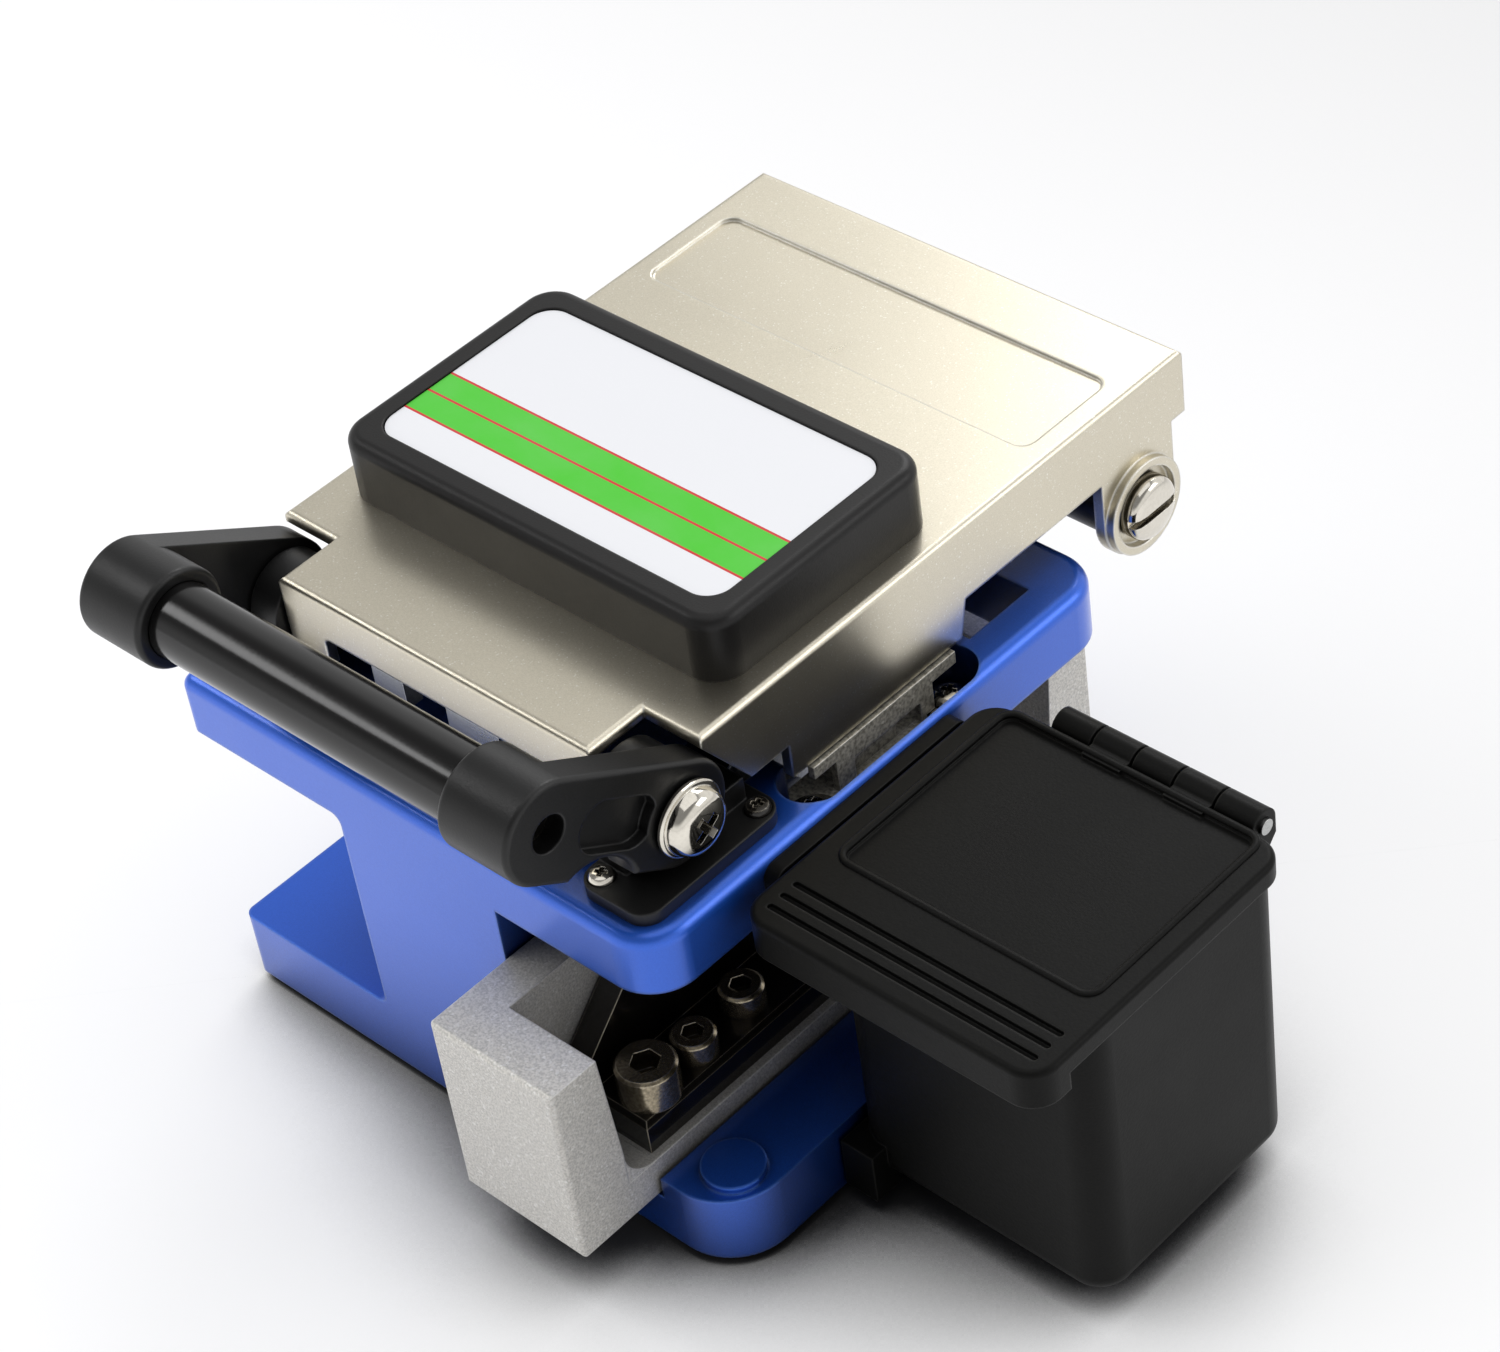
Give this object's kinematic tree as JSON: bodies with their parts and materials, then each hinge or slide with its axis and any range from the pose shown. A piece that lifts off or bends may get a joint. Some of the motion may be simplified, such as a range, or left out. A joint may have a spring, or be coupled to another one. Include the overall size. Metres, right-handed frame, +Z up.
{
  "type": "fibre cleaver",
  "caption": "Bench tool that scores and breaks optical fibre: cast base, sliding blade carriage, hinged clamp lid with press pad, front bail and lift-off waste box.",
  "frame": {"origin": "on the resting surface, under the middle of the work table", "axes": "+X along the fibre towards the waste box, +Y from the bail to the lid hinge, +Z up"},
  "size_m": [0.1005, 0.0919, 0.0637],
  "materials": {
    "blue_paint": "satin blue paint",
    "silver_paint": "fine speckled silver paint",
    "nickel": "satin nickel plate",
    "steel": "ground steel",
    "dark_steel": "blackened steel",
    "chrome": "bright plate",
    "black_plastic": "fine matt black",
    "black_tube": "satin black",
    "box_plastic": "grained black",
    "soft_black": "soft matt black",
    "rubber": "matt",
    "label_white": "plain gloss label"
  },
  "bodies": {
    "base": {"base_frame": "blue_paint", "rubber_mat": "rubber", "guide_rail": "steel", "guide_screws": "dark_steel", "groove_plate": "steel", "groove_screws": "steel", "left_clamp_pad": "rubber", "clamp_bracket": "nickel", "right_clamp_pad": "rubber", "bracket_screws": "chrome", "lid_magnet": "steel", "pivot_post_left": "black_plastic", "pivot_post_right": "black_plastic", "post_screws": "chrome", "pivot_screws": "chrome", "hinge_pin": "chrome", "hinge_clip": "steel", "hinge_bushes": "black_plastic", "box_mount": "dark_steel", "mount_screws": "dark_steel"},
    "carriage": {"carriage": "silver_paint", "rail_block": "steel", "block_screws": "dark_steel", "blade_holder": "dark_steel", "holder_screws": "dark_steel", "blade_shaft": "steel"},
    "blade": {"blade": "steel", "blade_hub": "dark_steel"},
    "lid": {"lid_cover": "nickel", "lid_liner": "steel", "press_pad": "soft_black", "pad_label": "label_white", "pad_screws": "steel", "clamp_springs": "steel", "anvil_spring": "steel"},
    "clamp": {"clamp_bridge": "black_plastic", "upper_pads": "rubber"},
    "anvil": {"anvil": "steel"},
    "bail": {"bail_arm_left": "black_plastic", "bail_arm_right": "black_plastic", "bail_tube": "black_tube", "bail_screws": "dark_steel"},
    "waste_box": {"waste_box": "box_plastic", "box_hinge_pin": "steel"},
    "waste_box_lid": {"waste_box_lid": "box_plastic"}
  },
  "joints": [
    {"name": "carriage_slide", "type": "slide", "parent": "base", "child": "carriage", "axis": [0, 1, 0], "range_m": [0, 0.014]},
    {"name": "blade_turn", "type": "hinge", "parent": "carriage", "child": "blade", "pos_m": [0.0204, -0.005, 0.0341], "axis": [1, 0, 0], "continuous": true},
    {"name": "lid_hinge", "type": "hinge", "parent": "base", "child": "lid", "pos_m": [0, 0.0421, 0.041], "axis": [-1, 0, 0], "range_deg": [0, 80]},
    {"name": "clamp_slide", "type": "slide", "parent": "lid", "child": "clamp", "axis": [0, 0, 1], "range_m": [0, 0.0008], "stiffness_N_per_m": 200, "springref_m": -0.005, "deforming": ["clamp_springs"]},
    {"name": "anvil_slide", "type": "slide", "parent": "lid", "child": "anvil", "axis": [0, 0, 1], "range_m": [0, 0.0008], "stiffness_N_per_m": 150, "springref_m": -0.004, "deforming": ["anvil_spring"]},
    {"name": "bail_pivot", "type": "hinge", "parent": "base", "child": "bail", "pos_m": [0, -0.0221, 0.04905], "axis": [1, 0, 0], "range_deg": [-30, 40]},
    {"name": "box_lift", "type": "slide", "parent": "base", "child": "waste_box", "axis": [0, 0, 1], "range_m": [0, 0.012]},
    {"name": "box_lid_hinge", "type": "hinge", "parent": "waste_box", "child": "waste_box_lid", "pos_m": [0.0525, 0.0139, 0.04], "axis": [-1, 0, 0], "range_deg": [0, 110]}
  ]
}
